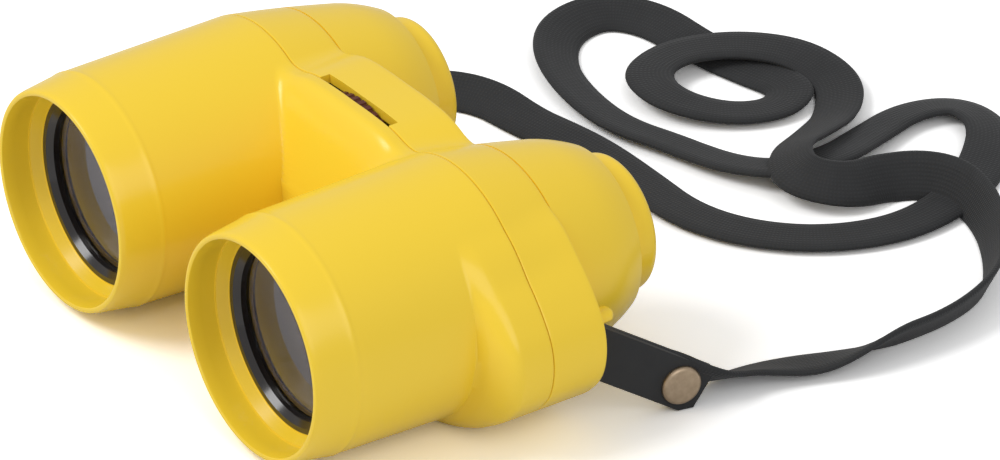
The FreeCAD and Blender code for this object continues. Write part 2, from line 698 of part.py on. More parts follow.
def focus_wheel():
    end = WHEEL_AT + WHEEL_THICKNESS
    wheel = ring(WHEEL_R, SCREW_R + 0.02, WHEEL_AT, end)
    hub = ring(WHEEL_HUB_R, SCREW_R + 0.02, end, end + WHEEL_HUB)
    rim_groove = []
    for i in range(KNURLS):
        angle = 2 * math.pi * i / KNURLS
        notch = disc(KNURL_R, WHEEL_AT - 1, end + 1)
        notch.translate(Vector(WHEEL_R * math.sin(angle), 0, WHEEL_R * math.cos(angle)))
        rim_groove.append(notch)
    lightening = []
    for i in range(5):
        angle = 2 * math.pi * (i + 0.5) / 5
        hole = disc(2.6, WHEEL_AT - 1, end + 1)
        hole.translate(Vector(9.0 * math.sin(angle), 0, 9.0 * math.cos(angle)))
        lightening.append(hole)
    return moved(wheel.fuse(hub).cut(rim_groove + lightening), 0, focus_height())


def focus_screw():
    """Drive screw: front journal, threaded stretch shown at its crest, rear journal and groove."""
    end = HOUSING_BACK_AT + 0.9
    return moved(disc(SCREW_R, SCREW_FRONT_AT, end), 0, focus_height())


def thrust_washer():
    """Washer between the front bearing boss and the wheel."""
    return moved(ring(SCREW_R + 1.6, SCREW_R + RUNNING, HUMP_FULL_AT + 0.05, WHEEL_AT - 0.05),
                 0, focus_height())


def screw_clip():
    """Ring that keeps the drive screw in the rear wall."""
    return moved(ring(CLIP_R, SCREW_R + 0.02, HOUSING_BACK_AT + 0.1, HOUSING_BACK_AT + 0.1 + CLIP_THICKNESS),
                 0, focus_height())


def shell_screws():
    screws = []
    head_end = HOUSING_BACK_AT - SCREW_RECESS
    head = disc(SCREW_HEAD_R, head_end - SCREW_HEAD + 0.01, head_end)
    shank = disc(SCREW_SHANK_R, SCREW_TIP_AT, head_end - SCREW_HEAD + 0.2)
    cross_a = box(-1.1, 1.1, station(head_end) - 0.5, station(head_end) + 1, -0.22, 0.22)
    cross_b = box(-0.22, 0.22, station(head_end) - 0.5, station(head_end) + 1, -1.1, 1.1)
    screw = head.fuse(shank).cut([cross_a, cross_b])
    for x, height in screw_places():
        screws.append(moved(screw, x, height))
    return Part.makeCompound(screws)


def main():
    os.makedirs("parts", exist_ok=True)
    front, rear = shells()
    save("front_shell", front)
    save("rear_shell", rear)

    seal_back = LENS_SHOULDER_AT - 0.01
    lens_back = seal_back - SEAL_THICKNESS
    lens_front = lens_back - LENS_EDGE
    lens_r = RING_R - 0.25
    seal = ring(RING_R - SEAT_GAP, SHOULDER_R + 0.3, lens_back, seal_back)
    save_pair("lens_seal", moved(seal, BARREL_X, 0))
    clear_r = min(RING_HOLE_R, SHOULDER_R) - 0.1
    lens = lens_solid(lens_r, clear_r, lens_front, LENS_EDGE, LENS_FRONT_SAG, LENS_BACK_SAG)
    save_pair("objective_lens", moved(lens, BARREL_X, 0))
    save_pair("objective_ring", moved(objective_ring(lens_front), BARREL_X, 0))
    save_pair("light_tube", moved(light_tube(), BARREL_X, 0))

    save_pair("eyepiece_tube", moved(eyepiece_tube(), BARREL_X, 0))
    hollow = (EYE_LENS_CENTRE - EYE_LENS_EDGE) / 2.0
    clear_r = EYE_STOP_R - 0.2
    eye_lens = lens_solid(EYE_LENS_R, clear_r, EYE_LENS_AT, EYE_LENS_EDGE, hollow, hollow)
    save_pair("eyepiece_lens", moved(eye_lens, BARREL_X, 0))
    save_pair("eyepiece_ring", moved(eyepiece_ring(), BARREL_X, 0))
    save_pair("eyecup", moved(eyecup(), BARREL_X, 0))

    save("focus_yoke", focus_yoke())
    save("focus_nut", focus_nut())
    save("focus_wheel", focus_wheel())
    save("focus_screw", focus_screw())
    save("thrust_washer", thrust_washer())
    save("screw_clip", screw_clip())
    save("shell_screws", shell_screws())

    save_pair("strap_pin", strap_pin())
    save_pair("strap_end", strap_end())
    save_pair("strap_rivet", strap_rivet())
    save("strap_webbing", strap_webbing())


main()
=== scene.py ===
"""Looks of a child's yellow binoculars with a flat neck strap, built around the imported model."""

import math

import bmesh
import bpy
from bpy.props import FloatProperty, FloatVectorProperty, PointerProperty
from bpy.types import Operator, Panel, PropertyGroup
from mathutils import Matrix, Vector


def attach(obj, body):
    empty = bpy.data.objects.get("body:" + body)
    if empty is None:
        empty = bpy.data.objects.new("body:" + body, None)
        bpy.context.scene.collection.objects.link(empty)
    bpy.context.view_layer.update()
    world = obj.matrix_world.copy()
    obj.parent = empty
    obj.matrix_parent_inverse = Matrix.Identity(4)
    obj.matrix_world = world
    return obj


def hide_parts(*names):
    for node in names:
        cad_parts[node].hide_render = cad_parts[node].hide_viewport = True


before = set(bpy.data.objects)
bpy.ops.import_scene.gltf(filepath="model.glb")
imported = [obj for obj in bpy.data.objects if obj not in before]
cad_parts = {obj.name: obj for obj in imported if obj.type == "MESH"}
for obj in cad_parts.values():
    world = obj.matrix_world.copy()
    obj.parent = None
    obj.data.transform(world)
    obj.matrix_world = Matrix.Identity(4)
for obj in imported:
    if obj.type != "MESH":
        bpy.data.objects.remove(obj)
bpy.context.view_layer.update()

bl_info = {
    "name": "Yellow Binoculars",
    "version": (1, 0, 0),
    "blender": (4, 5, 0),
    "location": "View3D > Sidebar > Binoculars",
    "description": "Models and finishes the binoculars, their optics and their strap",
    "category": "Object",
}

MM = 0.001
AXIS_HEIGHT = 0.0219
BARREL_X = 0.02975

# The strap's middle line, from one slot to the other, in metres.
STRAP_ROUTE = [
    (-0.0528, 0.0145, 0.0159), (-0.0546, 0.0230, 0.0106), (-0.0564, 0.0310, 0.0058),
    (-0.0570, 0.0370, 0.0040), (-0.0585, 0.0460, 0.0030), (-0.0570, 0.0570, 0.0014),
    (-0.0490, 0.0645, 0.0012), (-0.0370, 0.0660, 0.0012), (-0.0230, 0.0695, 0.0012),
    (-0.0080, 0.0700, 0.0012), (0.0060, 0.0695, 0.0012), (0.0180, 0.0745, 0.0012),
    (0.0275, 0.0845, 0.0012), (0.0320, 0.0980, 0.0012), (0.0295, 0.1120, 0.0012),
    (0.0225, 0.1240, 0.0012), (0.0130, 0.1335, 0.0012), (0.0025, 0.1340, 0.0012),
    (-0.0010, 0.1245, 0.0012), (0.0025, 0.1125, 0.0014), (0.0075, 0.1015, 0.0034),
    (0.0065, 0.0910, 0.0036), (-0.0030, 0.0860, 0.0018), (-0.0150, 0.0830, 0.0012),
    (-0.0270, 0.0785, 0.0012), (-0.0400, 0.0790, 0.0012), (-0.0525, 0.0825, 0.0012),
    (-0.0615, 0.0900, 0.0012), (-0.0635, 0.1005, 0.0012), (-0.0560, 0.1070, 0.0012),
    (-0.0430, 0.1080, 0.0012), (-0.0300, 0.1105, 0.0012), (-0.0200, 0.1135, 0.0012),
    (-0.0150, 0.1065, 0.0012), (-0.0185, 0.0970, 0.0014), (-0.0270, 0.0895, 0.0032),
    (-0.0370, 0.0915, 0.0034), (-0.0405, 0.1015, 0.0034), (-0.0360, 0.1125, 0.0036),
    (-0.0270, 0.1205, 0.0030), (-0.0160, 0.1210, 0.0016), (-0.0070, 0.1135, 0.0014),
    (-0.0010, 0.1035, 0.0036), (0.0040, 0.0935, 0.0056), (0.0125, 0.0890, 0.0058),
    (0.0195, 0.0955, 0.0046), (0.0190, 0.1060, 0.0034), (0.0265, 0.1135, 0.0034),
    (0.0380, 0.1115, 0.0032), (0.0490, 0.1055, 0.0014), (0.0585, 0.0975, 0.0012),
    (0.0630, 0.0870, 0.0012), (0.0640, 0.0750, 0.0012), (0.0625, 0.0630, 0.0012),
    (0.0585, 0.0530, 0.0012), (0.0563, 0.0440, 0.0020), (0.0570, 0.0370, 0.0040),
    (0.0564, 0.0310, 0.0058), (0.0546, 0.0230, 0.0106), (0.0528, 0.0145, 0.0159),
]

# How far the webbing leans from lying flat, in degrees, at shares of its length.
STRAP_LEAN = [
    (0.00, 90), (0.035, 90), (0.075, 25), (0.11, 10), (0.16, 0), (0.24, 0), (0.30, 14),
    (0.36, 8), (0.42, 12), (0.50, 22), (0.56, 8), (0.64, 0), (0.70, 10), (0.76, 28),
    (0.81, 58), (0.86, 66), (0.90, 52), (0.93, 12), (0.955, 30), (0.975, 90), (1.0, 90),
]


# ---- sizes and colours -----------------------------------------------------------------

class BinocularShellSettings(PropertyGroup):
    """Finish of the two shells and the eyecups."""
    yellow: FloatVectorProperty(
        name="Yellow", description="Colour of the moulded plastic", subtype="COLOR", size=3,
        min=0.0, max=1.0, default=(0.960, 0.480, 0.008))
    roughness: FloatProperty(
        name="Roughness", description="Roughness of the moulded plastic", min=0.0, max=1.0,
        default=0.30)


class BinocularStrapSettings(PropertyGroup):
    """Sizes and colours of the neck strap."""
    width: FloatProperty(
        name="Width", description="Width of the webbing", default=0.009, unit="LENGTH")
    thickness: FloatProperty(
        name="Thickness", description="Thickness of the webbing", default=0.0010, unit="LENGTH")
    colour: FloatVectorProperty(
        name="Colour", description="Colour of the webbing", subtype="COLOR", size=3,
        min=0.0, max=1.0, default=(0.021, 0.022, 0.024))


class BinocularStageSettings(PropertyGroup):
    """Where the camera stands, and its lens."""
    azimuth: FloatProperty(
        name="Azimuth", description="Where the camera stands, round the object",
        default=math.radians(56.67), subtype="ANGLE")
    elevation: FloatProperty(
        name="Elevation", description="How far above the horizon the camera stands",
        default=math.radians(29.86), subtype="ANGLE")
    distance: FloatProperty(
        name="Distance", description="From the camera to the body's middle", default=1.165,
        unit="LENGTH")
    lens: FloatProperty(name="Lens", description="Focal length in millimetres", default=245.4)


# ---- materials ---------------------------------------------------------------------------

def link(tree, source, target):
    tree.links.new(source, target)


def noise_node(tree, vector, scale, detail=3.0, roughness=0.5):
    node = tree.nodes.new("ShaderNodeTexNoise")
    node.inputs["Scale"].default_value = scale
    node.inputs["Detail"].default_value = detail
    node.inputs["Roughness"].default_value = roughness
    link(tree, vector, node.inputs["Vector"])
    return node


def range_node(tree, value, low, high):
    node = tree.nodes.new("ShaderNodeMapRange")
    node.inputs["To Min"].default_value = low
    node.inputs["To Max"].default_value = high
    link(tree, value, node.inputs["Value"])
    return node.outputs["Result"]


def new_group(name, inputs, outputs):
    group = bpy.data.node_groups.new(name, "ShaderNodeTree")
    for label, kind, value in inputs:
        socket = group.interface.new_socket(label, in_out="INPUT", socket_type=kind)
        if value is not None:
            socket.default_value = value
    for label, kind in outputs:
        group.interface.new_socket(label, in_out="OUTPUT", socket_type=kind)
    return group, group.nodes.new("NodeGroupInput"), group.nodes.new("NodeGroupOutput")


def moulding_group():
    """Fine moulded surface: faint flow marks in the colour, handling marks in the gloss, soft bump."""
    group, inside, out = new_group(
        "Moulded Surface",
        [("Vector", "NodeSocketVector", None), ("Colour", "NodeSocketColor", (1, 1, 1, 1)),
         ("Roughness", "NodeSocketFloat", 0.3), ("Variation", "NodeSocketFloat", 0.04)],
        [("Colour", "NodeSocketColor"), ("Roughness", "NodeSocketFloat"),
         ("Height", "NodeSocketFloat")])
    flow = noise_node(group, inside.outputs["Vector"], 55.0, 2.0)
    spread = group.nodes.new("ShaderNodeMath")
    spread.operation = "MULTIPLY_ADD"
    link(group, flow.outputs["Fac"], spread.inputs[0])
    link(group, inside.outputs["Variation"], spread.inputs[1])
    spread.inputs[2].default_value = 0.98
    tint = group.nodes.new("ShaderNodeMix")
    tint.data_type = "RGBA"
    tint.blend_type = "MULTIPLY"
    tint.inputs["Factor"].default_value = 1.0
    link(group, inside.outputs["Colour"], tint.inputs["A"])
    link(group, spread.outputs["Value"], tint.inputs["B"])
    link(group, tint.outputs["Result"], out.inputs["Colour"])
    marks = noise_node(group, inside.outputs["Vector"], 160.0, 5.0, 0.6)
    wear = group.nodes.new("ShaderNodeMath")
    wear.operation = "MULTIPLY_ADD"
    link(group, marks.outputs["Fac"], wear.inputs[0])
    wear.inputs[1].default_value = 0.10
    link(group, inside.outputs["Roughness"], wear.inputs[2])
    link(group, wear.outputs["Value"], out.inputs["Roughness"])
    grain = noise_node(group, inside.outputs["Vector"], 900.0, 2.0)
    link(group, grain.outputs["Fac"], out.inputs["Height"])
    return group


def new_material(name):
    material = bpy.data.materials.new(name)
    material.use_nodes = True
    tree = material.node_tree
    shader = tree.nodes["Principled BSDF"]
    coords = tree.nodes.new("ShaderNodeTexCoord")
    return material, tree, shader, coords


def moulded_material(name, colour, roughness, variation=0.04, bump=0.04, coat=0.0):
    material, tree, shader, coords = new_material(name)
    surface = tree.nodes.new("ShaderNodeGroup")
    surface.node_tree = bpy.data.node_groups.get("Moulded Surface") or moulding_group()
    surface.inputs["Colour"].default_value = (*colour, 1.0)
    surface.inputs["Roughness"].default_value = roughness
    surface.inputs["Variation"].default_value = variation
    link(tree, coords.outputs["Object"], surface.inputs["Vector"])
    link(tree, surface.outputs["Colour"], shader.inputs["Base Color"])
    link(tree, surface.outputs["Roughness"], shader.inputs["Roughness"])
    relief = tree.nodes.new("ShaderNodeBump")
    relief.inputs["Strength"].default_value = bump
    relief.inputs["Distance"].default_value = 0.0001
    link(tree, surface.outputs["Height"], relief.inputs["Height"])
    link(tree, relief.outputs["Normal"], shader.inputs["Normal"])
    shader.inputs["Coat Weight"].default_value = coat
    shader.inputs["Coat Roughness"].default_value = 0.12
    return material


def yellow_plastic(context):
    settings = context.scene.binocular_shell
    return bpy.data.materials.get("yellow_plastic") or moulded_material(
        "yellow_plastic", settings.yellow, settings.roughness)


def metal_material(name, colour, roughness, tarnish):
    material, tree, shader, coords = new_material(name)
    marks = noise_node(tree, coords.outputs["Object"], 700.0, 6.0, 0.65)
    mix = tree.nodes.new("ShaderNodeMix")
    mix.data_type = "RGBA"
    mix.inputs["A"].default_value = (*colour, 1.0)
    mix.inputs["B"].default_value = (*tarnish, 1.0)
    link(tree, marks.outputs["Fac"], mix.inputs["Factor"])
    link(tree, mix.outputs["Result"], shader.inputs["Base Color"])
    link(tree, range_node(tree, marks.outputs["Fac"], roughness - 0.08, roughness + 0.15),
         shader.inputs["Roughness"])
    shader.inputs["Metallic"].default_value = 1.0
    relief = tree.nodes.new("ShaderNodeBump")
    relief.inputs["Strength"].default_value = 0.15
    relief.inputs["Distance"].default_value = 0.0001
    link(tree, marks.outputs["Fac"], relief.inputs["Height"])
    link(tree, relief.outputs["Normal"], shader.inputs["Normal"])
    return material


def glass_material(name, colour, roughness):
    material, tree, shader, coords = new_material(name)
    dust = noise_node(tree, coords.outputs["Object"], 300.0, 4.0, 0.6)
    link(tree, range_node(tree, dust.outputs["Fac"], roughness, roughness + 0.04),
         shader.inputs["Roughness"])
    shader.inputs["Base Color"].default_value = (*colour, 1.0)
    shader.inputs["Transmission Weight"].default_value = 1.0
    shader.inputs["IOR"].default_value = 1.5
    return material


def webbing_material(settings):
    """Plain-woven tape: ribs across, twisted yarn along, on the webbing's own UV map in metres."""
    material, tree, shader, coords = new_material("webbing")
    width = tree.nodes.new("ShaderNodeMapping")
    width.inputs["Scale"].default_value = (1.0, 1.0, 1.0)
    link(tree, coords.outputs["UV"], width.inputs["Vector"])
    ribs = tree.nodes.new("ShaderNodeTexWave")
    ribs.bands_direction = "X"
    ribs.inputs["Scale"].default_value = 520.0
    ribs.inputs["Distortion"].default_value = 0.6
    link(tree, width.outputs["Vector"], ribs.inputs["Vector"])
    yarns = tree.nodes.new("ShaderNodeTexWave")
    yarns.bands_direction = "Y"
    yarns.inputs["Scale"].default_value = 420.0
    yarns.inputs["Distortion"].default_value = 0.4
    link(tree, width.outputs["Vector"], yarns.inputs["Vector"])
    weave = tree.nodes.new("ShaderNodeMath")
    weave.operation = "MULTIPLY"
    link(tree, ribs.outputs["Fac"], weave.inputs[0])
    link(tree, yarns.outputs["Fac"], weave.inputs[1])
    fuzz = noise_node(tree, coords.outputs["Object"], 260.0, 5.0, 0.6)
    base = tree.nodes.new("ShaderNodeMix")
    base.data_type = "RGBA"
    dark = [c * 0.72 for c in settings.colour]
    base.inputs["A"].default_value = (*dark, 1.0)
    base.inputs["B"].default_value = (*settings.colour, 1.0)
    link(tree, range_node(tree, weave.outputs["Value"], 0.3, 1.0), base.inputs["Factor"])
    patchy = tree.nodes.new("ShaderNodeMix")
    patchy.data_type = "RGBA"
    patchy.blend_type = "MULTIPLY"
    patchy.inputs["Factor"].default_value = 1.0
    link(tree, base.outputs["Result"], patchy.inputs["A"])
    link(tree, range_node(tree, fuzz.outputs["Fac"], 0.75, 1.25), patchy.inputs["B"])
    link(tree, patchy.outputs["Result"], shader.inputs["Base Color"])
    shader.inputs["Roughness"].default_value = 0.78
    shader.inputs["Sheen Weight"].default_value = 0.08
    shader.inputs["Sheen Roughness"].default_value = 0.5
    relief = tree.nodes.new("ShaderNodeBump")
    relief.inputs["Strength"].default_value = 0.6
    relief.inputs["Distance"].default_value = 0.00012
    link(tree, weave.outputs["Value"], relief.inputs["Height"])
    link(tree, relief.outputs["Normal"], shader.inputs["Normal"])
    return material


def give(obj, material):
    obj.data.materials.clear()
    obj.data.materials.append(material)
    return obj


# ---- shell geometry ------------------------------------------------------------------------

# Millimetres. A station is measured from the hood rim, and angles go round a barrel's axis
# from the outer side, up over the top.
FRONT_Y = -37.5
AXIS_Z = 21.9
AXIS_X = 29.75
WALL = 1.7
SEAM_AT = 41.1
HOUSING_BACK_AT = 52.0
RIM_TO_SEAM = [(0.0, 20.0), (8.0, 21.15), (SEAM_AT, 21.9)]
REAR_CURVE = [(SEAM_AT, 21.9), (51.1, 20.3), (60.1, 18.5)]
SHOULDER_CURVE = [(60.1, 18.5), (65.0, 17.15), (69.2, 15.2)]
CROWN_LINE = [(0.0, 20.5), (5.5, 20.5), (11.0, 20.2), (14.0, 19.6), (17.0, 18.5), (20.0, 16.6), (24.0, 12.5)]
WEB_FLOOR = -19.2
HIDDEN_R = 20.7             # where a strap housing's outline starts, inside its barrel
HOUSING_REACH = [
    (-180, 12.0), (-130, 16.0), (-114, 20.6), (-103, 22.45), (-65.5, 24.08), (-43.1, 26.03),
    (-28.8, 28.2), (-18.1, 29.57), (-7.8, 29.52), (1.6, 28.41), (12.0, 26.07), (25.3, 23.4),
    (41.0, 21.3), (50.0, 19.2), (60.0, 16.5), (90.0, 14.0), (180.0, 12.0),
]


def soft(t):
    t = min(max(t, 0.0), 1.0)
    return t * t * (3.0 - 2.0 * t)


def through_three(points, x):
    """The value at x of the parabola through three points."""
    total = 0.0
    for i, (xi, yi) in enumerate(points):
        share = yi
        for j, (xj, _) in enumerate(points):
            if i != j:
                share *= (x - xj) / (xi - xj)
        total += share
    return total


def smooth_between(points, x):
    """A smooth curve through points with rising x."""
    last = len(points) - 1
    for i in range(last):
        if x <= points[i + 1][0] or i == last - 1:
            break
    (x0, y0), (x1, y1) = points[i], points[i + 1]
    before, after = points[max(i - 1, 0)], points[min(i + 2, last)]
    slope0 = (y1 - before[1]) / (x1 - before[0])
    slope1 = (after[1] - y0) / (after[0] - x0)
    width = x1 - x0
    t = min(max((x - x0) / width, 0.0), 1.0)
    return ((2 * t - 3) * t * t + 1) * y0 + ((t - 2) * t + 1) * t * width * slope0 \
        + (3 - 2 * t) * t * t * y1 + (t - 1) * t * t * width * slope1


def barrel_radius(at):
    if at <= RIM_TO_SEAM[1][0]:
        (a, ra), (b, rb) = RIM_TO_SEAM[:2]
        radius = ra + (rb - ra) * (at - a) / (b - a)
    elif at <= SEAM_AT:
        (a, ra), (b, rb) = RIM_TO_SEAM[1:]
        radius = ra + (rb - ra) * (at - a) / (b - a)
    elif at <= REAR_CURVE[2][0]:
        return through_three(REAR_CURVE, at)
    else:
        return through_three(SHOULDER_CURVE, at)
    return radius + 0.09 * math.exp(-((at - 7.9) / 0.5) ** 2)


def blend_min(a, b, width):
    """The smaller of two distances, with their meeting line rounded over a width."""
    overlap = max(width - abs(a - b), 0.0)
    return min(a, b) - overlap * overlap / (4.0 * width)


def outside_by(x, z, at, parts="all"):
    """How far a point beside a barrel's axis is outside the shell's outer form."""
    reach = math.hypot(x, z)
    gap = max(reach - barrel_radius(at), -AXIS_Z - z)
    if parts == "barrel" or at > HOUSING_BACK_AT:
        return gap
    angle = math.degrees(math.atan2(z, x))
    swell = (1.0 - (1.0 - min(max((at - 30.6) / 4.8, 0.0), 1.0)) ** 2) ** 0.8
    if swell > 0.0:
        outline = HIDDEN_R + swell * (smooth_between(HOUSING_REACH, angle) - HIDDEN_R)
        width = (0.7 + 2.2 * soft((angle + 5.0) / 40.0)) * min(1.0, swell + 0.05)
        gap = blend_min(gap, max(reach - outline, -AXIS_Z - z), width)
    if at >= 31.5:
        hump = math.sin(math.pi / 2.0 * min((at - 31.5) / 8.0, 1.0))
        from_middle = abs(AXIS_X + x)
        if from_middle < 22.0:
            top = 3.0 + hump * (smooth_between(CROWN_LINE, from_middle) - 3.0)
            floor = -15.0 + hump * (WEB_FLOOR + 15.0)
            width = 0.6 + (2.4 if z > 0.0 else 1.5) * hump
            gap = blend_min(gap, max(z - top, floor - z), width)
    return gap


def outline_point(angle, at, inset, parts):
    """The shell's outline at an angle and a station, as (x, z) from the barrel's axis."""
    c, s = math.cos(angle), math.sin(angle)
    low, high = 9.0, 46.0
    for _ in range(17):
        middle = (low + high) / 2.0
        if outside_by(c * middle, s * middle, at, parts) + inset > 0.0:
            high = middle
        else:
            low = middle
    if c < 0.0 and high > -AXIS_X / c:
        return None
    return c * high, s * high


def middle_height(at, inset, parts, sign):
    """Height at which the shell's outline crosses the middle plane."""
    low, high = 0.0, 30.0
    if sign < 0 and outside_by(-AXIS_X, -9.0, at, parts) + inset <= 0.0:
        low = 9.0
    for _ in range(17):
        middle = (low + high) / 2.0
        if outside_by(-AXIS_X, sign * middle, at, parts) + inset > 0.0:
            high = middle
        else:
            low = middle
    return sign * high


def ring_angles():
    """Angles round a barrel, closer together where the bridge and the strap housing are."""
    angles = []
    angle = -180.0
    while angle < 180.0:
        angles.append(math.radians(angle))
        if abs(angle) >= 108.0:
            angle += 1.0
        elif -72.0 <= angle <= 70.0:
            angle += 1.5
        else:
            angle += 2.0
    return angles


def ring_row(angles, row):
    """One ring of points: a plain circle, or the shell's outline at a station."""
    at, kind, value = row
    y = FRONT_Y + at
    if kind == "circle":
        return [(AXIS_X + value * math.cos(a), y, AXIS_Z + value * math.sin(a)) for a in angles]
    parts = "barrel" if kind == "barrel" else "all"
    row_points = [outline_point(a, at, value, parts) for a in angles]
    heights = {}
    points = []
    for a, place in zip(angles, row_points):
        if place is None:
            sign = 1 if math.sin(a) > -0.25 else -1
            if sign not in heights:
                heights[sign] = middle_height(at, value, parts, sign)
            points.append((0.0, y, AXIS_Z + heights[sign]))
        else:
            points.append((AXIS_X + place[0], y, AXIS_Z + place[1]))
    return points


def skin_from_rows(name, rows):
    """A closed shell from a loop of rings round each barrel, joined across the middle plane."""
    angles = ring_angles()
    rings = [ring_row(angles, row) for row in rows]
    shape = bmesh.new()
    count = len(angles)
    for side in (1, -1):
        grid = [[shape.verts.new((side * x * MM, y * MM, z * MM)) for x, y, z in r] for r in rings]
        for i in range(len(grid)):
            ahead = grid[(i + 1) % len(grid)]
            for j in range(count):
                k = (j + 1) % count
                corners = (grid[i][j], grid[i][k], ahead[k], ahead[j])
                if all(abs(v.co.x) < 1e-7 for v in corners):
                    continue
                shape.faces.new(corners)
    bmesh.ops.remove_doubles(shape, verts=shape.verts, dist=2e-6)
    bmesh.ops.dissolve_degenerate(shape, edges=shape.edges, dist=1e-6)
    bmesh.ops.recalc_face_normals(shape, faces=shape.faces)
    mesh = bpy.data.meshes.new(name)
    shape.to_mesh(mesh)
    shape.free()
    obj = bpy.data.objects.new(name, mesh)
    bpy.context.scene.collection.objects.link(obj)
    return obj


def spread(start, end, steps):
    return [start + (end - start) * i / steps for i in range(steps + 1)]


def front_rows():
    inner = [(at, "inner", WALL) for at in spread(41.02, 34.0, 10) + [33.3]]
    inner += [(at, "barrel", WALL) for at in (33.2, 29.0, 22.0, 13.7)]
    hood = [(13.7, 15.2), (12.2, 15.2), (12.2, 17.3), (7.4, 17.3), (7.4, 17.55), (5.5, 18.55),
            (5.45, 18.86), (5.35, 18.9), (2.6, 18.9), (0.35, 18.9), (0.12, 18.97), (0.0, 19.2),
            (0.0, 19.55), (0.1, 19.82), (0.35, 19.98)]
    stations = [1.2, 3.0, 5.0, 6.4, 6.9, 7.2, 7.45, 7.7, 7.9, 8.1, 8.35, 8.6, 8.9, 9.4, 10.5,
                13.0, 16.0, 19.0, 22.0, 25.0, 27.5, 29.3, 30.2, 30.58, 30.8, 31.1, 31.49]
    stations += spread(31.5, 37.5, 20) + spread(37.8, 40.9, 8)
    outer = [(at, "outer", 0.0) for at in stations]
    outer += [(40.99, "outer", 0.05), (41.02, "outer", 0.14)]
    return inner + [(at, "circle", r) for at, r in hood] + outer


def rear_rows():
    inner = [(at, "inner", WALL) for at in (41.18, 43.0, 45.0, 47.5, 50.3)]
    inner += [(at, "barrel", WALL) for at in (50.3, 54.0, 58.0, 62.5)]
    bore = [(62.5, 11.05), (64.2, 11.05), (64.2, 12.4), (69.05, 12.4), (69.2, 12.55),
            (69.2, 14.5), (69.15, 14.85)]
    stations = [69.0, 68.6, 68.0, 67.2, 66.2, 65.0, 63.6, 62.0, 60.2, 58.4, 56.6, 54.8, 53.2, 52.3, 52.0]
    outer = [(at, "barrel", 0.0) for at in stations]
    outer += [(52.0, "outer", 0.4), (51.9, "outer", 0.16), (51.7, "outer", 0.04), (51.4, "outer", 0.0)]
    outer += [(at, "outer", 0.0) for at in spread(50.6, 41.6, 9)]
    outer += [(41.3, "outer", 0.0), (41.21, "outer", 0.05), (41.18, "outer", 0.14)]
    return inner + [(at, "circle", r) for at, r in bore] + outer


def add_box(low, high):
    """A box between two corners in millimetres, as the active object."""
    middle = [(a + b) / 2.0 * MM for a, b in zip(low, high)]
    size = [(b - a) * MM for a, b in zip(low, high)]
    bpy.ops.mesh.primitive_cube_add(size=1.0, location=middle, scale=size)
    return bpy.context.object


def add_rod(x, z, radius, at, end):
    """A rod along the barrels, between two stations."""
    bpy.ops.mesh.primitive_cylinder_add(
        vertices=48, radius=radius * MM, depth=(end - at) * MM,
        location=(x * MM, (FRONT_Y + (at + end) / 2.0) * MM, (AXIS_Z + z) * MM),
        rotation=(math.pi / 2.0, 0.0, 0.0))
    return bpy.context.object


def joined(objects, name):
    bpy.ops.object.select_all(action="DESELECT")
    for obj in objects:
        obj.select_set(True)
    bpy.context.view_layer.objects.active = objects[0]
    if len(objects) > 1:
        bpy.ops.object.join()
    whole = bpy.context.object
    whole.name = name
    bpy.ops.object.transform_apply(location=True, rotation=True, scale=True)
    return whole


def cut_with(obj, cutter):
    """Take a cutter's volume out of a piece and remove the cutter."""
    bpy.ops.object.select_all(action="DESELECT")
    obj.select_set(True)
    bpy.context.view_layer.objects.active = obj
    trim = obj.modifiers.new("cut", "BOOLEAN")
    trim.operation = "DIFFERENCE"
    trim.solver = "EXACT"
    trim.object = cutter
    bpy.ops.object.modifier_apply(modifier=trim.name)
    bpy.data.objects.remove(cutter)


def smooth_by_angle(obj, degrees):
    bpy.ops.object.select_all(action="DESELECT")
    obj.select_set(True)
    bpy.context.view_layer.objects.active = obj
    bpy.ops.object.shade_smooth_by_angle(angle=math.radians(degrees))


# ---- strap geometry ------------------------------------------------------------------------

def smooth_line(points):
    """Points along a smooth NURBS line that has these control points."""
    curve = bpy.data.curves.new("strap_line", "CURVE")
    curve.dimensions = "3D"
    curve.resolution_u = 10
    spline = curve.splines.new("NURBS")
    spline.points.add(len(points) - 1)
    for target, place in zip(spline.points, points):
        target.co = (*place, 1.0)
    spline.order_u = 3
    spline.use_endpoint_u = True
    holder = bpy.data.objects.new("strap_line", curve)
    bpy.context.scene.collection.objects.link(holder)
    bpy.context.view_layer.update()
    mesh = bpy.data.meshes.new_from_object(holder)
    line = [v.co.copy() for v in mesh.vertices]
    bpy.data.objects.remove(holder)
    bpy.data.meshes.remove(mesh)
    return line


def lean_at(share):
    for (a, low), (b, high) in zip(STRAP_LEAN, STRAP_LEAN[1:]):
        if a <= share <= b:
            t = (share - a) / (b - a)
            return math.radians(low + (high - low) * t * t * (3 - 2 * t))
    return math.radians(STRAP_LEAN[-1][1])


def distances(line):
    run = [0.0]
    for a, b in zip(line, line[1:]):
        run.append(run[-1] + (b - a).length)
    return run


